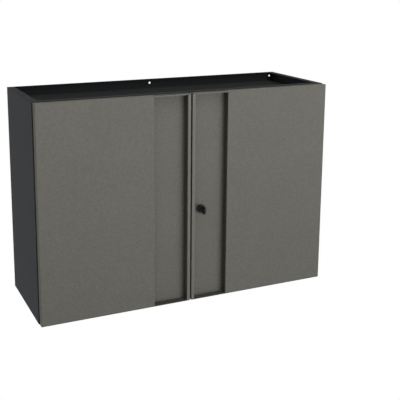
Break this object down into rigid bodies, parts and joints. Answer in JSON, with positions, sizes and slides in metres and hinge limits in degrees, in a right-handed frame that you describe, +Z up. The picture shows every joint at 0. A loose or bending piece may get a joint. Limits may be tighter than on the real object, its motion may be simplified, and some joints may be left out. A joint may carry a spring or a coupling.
{
  "type": "double-door steel wall cabinet",
  "caption": "Wall-hung folded-steel cabinet with double doors, grip recesses, an open top tray, a shelf, concealed hinges, a key lock and a hand bolt.",
  "frame": {"origin": "middle of the bottom of the box round the whole object, key included", "axes": "+X to the right along the doors, +Y back to the wall, +Z up"},
  "size_m": [0.8, 0.2912, 0.55],
  "materials": {
    "carcass_paint": "anthracite powder coat, satin",
    "tray_paint": "dark anthracite powder coat, semi-gloss",
    "door_paint": "warm grey powder coat with a fine texture",
    "zinc_plate": "zinc plated",
    "bright_steel": "bright steel",
    "black_lock": "black, satin",
    "buffer_rubber": "black rubber"
  },
  "bodies": {
    "carcass": {"left_side_panel": "carcass_paint", "right_side_panel": "carcass_paint", "back_panel": "carcass_paint", "top_panel": "tray_paint", "bottom_panel": "carcass_paint", "shelf": "carcass_paint", "shelf_rail_left_front": "carcass_paint", "shelf_rail_left_rear": "carcass_paint", "shelf_rail_right_front": "carcass_paint", "shelf_rail_right_rear": "carcass_paint", "shelf_clip_left_front": "zinc_plate", "shelf_clip_left_rear": "zinc_plate", "shelf_clip_right_front": "zinc_plate", "shelf_clip_right_rear": "zinc_plate", "left_lower_hinge_bracket": "zinc_plate", "left_upper_hinge_bracket": "zinc_plate", "right_lower_hinge_bracket": "zinc_plate", "right_upper_hinge_bracket": "zinc_plate", "left_lower_hinge_rivet_1": "bright_steel", "left_lower_hinge_rivet_2": "bright_steel", "left_upper_hinge_rivet_1": "bright_steel", "left_upper_hinge_rivet_2": "bright_steel", "right_lower_hinge_rivet_1": "bright_steel", "right_lower_hinge_rivet_2": "bright_steel", "right_upper_hinge_rivet_1": "bright_steel", "right_upper_hinge_rivet_2": "bright_steel", "buffer_left_lower": "buffer_rubber", "buffer_left_upper": "buffer_rubber", "buffer_right_lower": "buffer_rubber", "buffer_right_upper": "buffer_rubber"},
    "left_door": {"left_door_skin": "door_paint", "left_door_top_cap": "door_paint", "left_door_bottom_cap": "door_paint", "left_door_stiffener": "door_paint", "left_lower_hinge_yoke": "zinc_plate", "left_lower_hinge_pin": "bright_steel", "left_upper_hinge_yoke": "zinc_plate", "left_upper_hinge_pin": "bright_steel", "lock_keeper": "zinc_plate", "bolt_guide": "zinc_plate"},
    "right_door": {"right_door_skin": "door_paint", "right_door_top_cap": "door_paint", "right_door_bottom_cap": "door_paint", "right_door_stiffener": "door_paint", "right_lower_hinge_yoke": "zinc_plate", "right_lower_hinge_pin": "bright_steel", "right_upper_hinge_yoke": "zinc_plate", "right_upper_hinge_pin": "bright_steel", "lock_housing": "black_lock", "lock_nut": "zinc_plate"},
    "lock_cylinder": {"lock_plug": "black_lock", "lock_cam": "zinc_plate", "cam_screw": "bright_steel"},
    "key": {"key_blade": "bright_steel", "key_bow": "black_lock"},
    "bolt": {"bolt_rod": "bright_steel"}
  },
  "joints": [
    {"name": "left_door_hinge", "type": "hinge", "parent": "carcass", "child": "left_door", "pos_m": [-0.391, -0.12635, 0.275], "axis": [0, 0, -1], "range_deg": [0, 105]},
    {"name": "right_door_hinge", "type": "hinge", "parent": "carcass", "child": "right_door", "pos_m": [0.391, -0.12635, 0.275], "axis": [0, 0, 1], "range_deg": [0, 105]},
    {"name": "lock_turn", "type": "hinge", "parent": "right_door", "child": "lock_cylinder", "pos_m": [0.035, -0.11735, 0.242], "axis": [0, -1, 0], "range_deg": [0, 90]},
    {"name": "key_withdraw", "type": "slide", "parent": "lock_cylinder", "child": "key", "axis": [0, -1, 0], "range_m": [0, 0.017]},
    {"name": "bolt_slide", "type": "slide", "parent": "left_door", "child": "bolt", "axis": [0, 0, 1], "range_m": [0, 0.012]}
  ]
}
